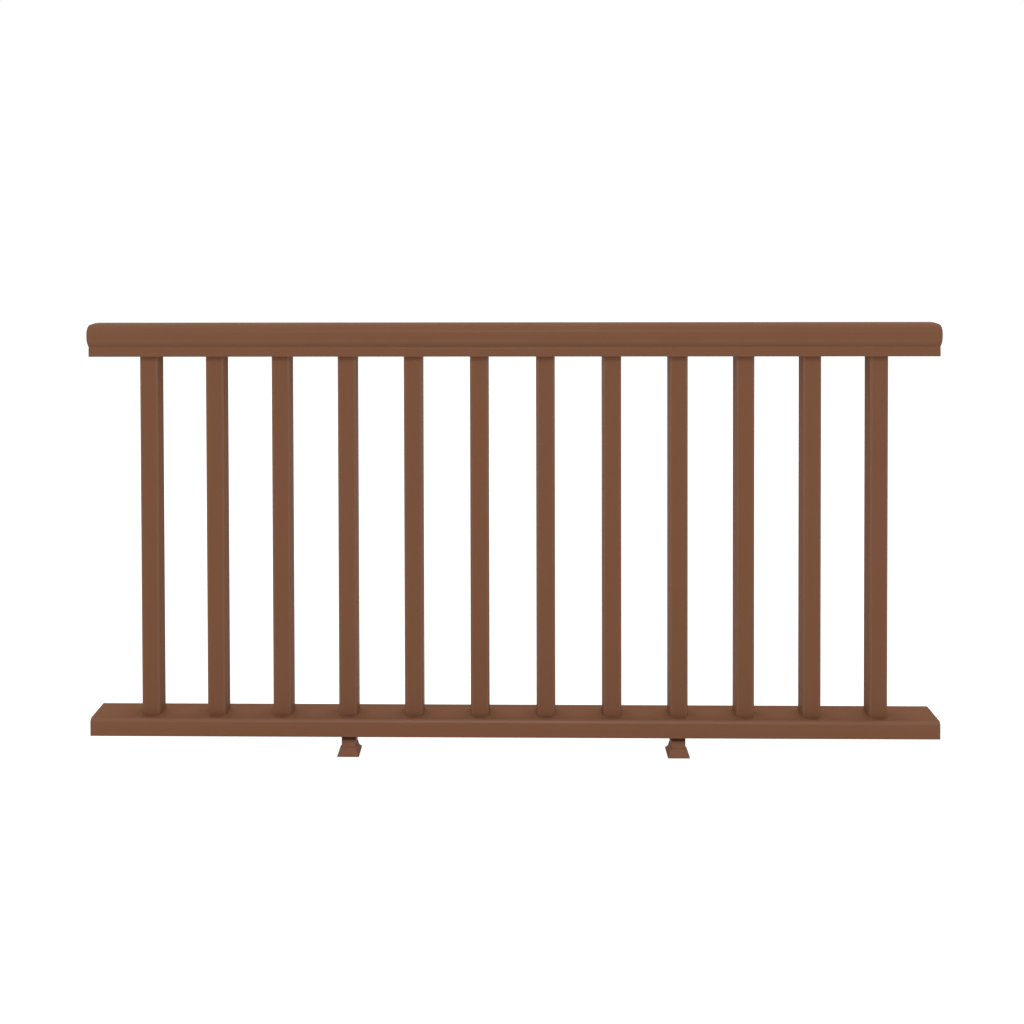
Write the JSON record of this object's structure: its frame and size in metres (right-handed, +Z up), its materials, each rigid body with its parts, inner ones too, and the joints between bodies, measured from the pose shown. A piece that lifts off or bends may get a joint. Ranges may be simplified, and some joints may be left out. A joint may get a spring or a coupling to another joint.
{
  "type": "deck railing section",
  "caption": "Straight guard rail section for a deck: square balusters between a flat bottom rail on short feet and a rounded, crowned top rail, all in brown vinyl",
  "frame": {"origin": "middle of the left foot's underside, on the deck", "axes": "X along the rails to the right as seen from the pictured side, Y across the rails away from the pictured side, Z up"},
  "size_m": [1.776, 0.085, 0.9143],
  "materials": {
    "rail_vinyl": "satin",
    "baluster_vinyl": "satin",
    "foot_vinyl": "satin",
    "stiffener_aluminium": "satin"
  },
  "bodies": {
    "root": {"top_rail": "rail_vinyl", "bottom_rail": "rail_vinyl", "top_rail_stiffener": "stiffener_aluminium", "bottom_rail_stiffener": "stiffener_aluminium", "baluster_01": "baluster_vinyl", "baluster_02": "baluster_vinyl", "baluster_03": "baluster_vinyl", "baluster_04": "baluster_vinyl", "baluster_05": "baluster_vinyl", "baluster_06": "baluster_vinyl", "baluster_07": "baluster_vinyl", "baluster_08": "baluster_vinyl", "baluster_09": "baluster_vinyl", "baluster_10": "baluster_vinyl", "baluster_11": "baluster_vinyl", "baluster_12": "baluster_vinyl", "left_foot_post": "foot_vinyl", "right_foot_post": "foot_vinyl", "left_foot_skirt": "foot_vinyl", "right_foot_skirt": "foot_vinyl"}
  },
  "joints": []
}
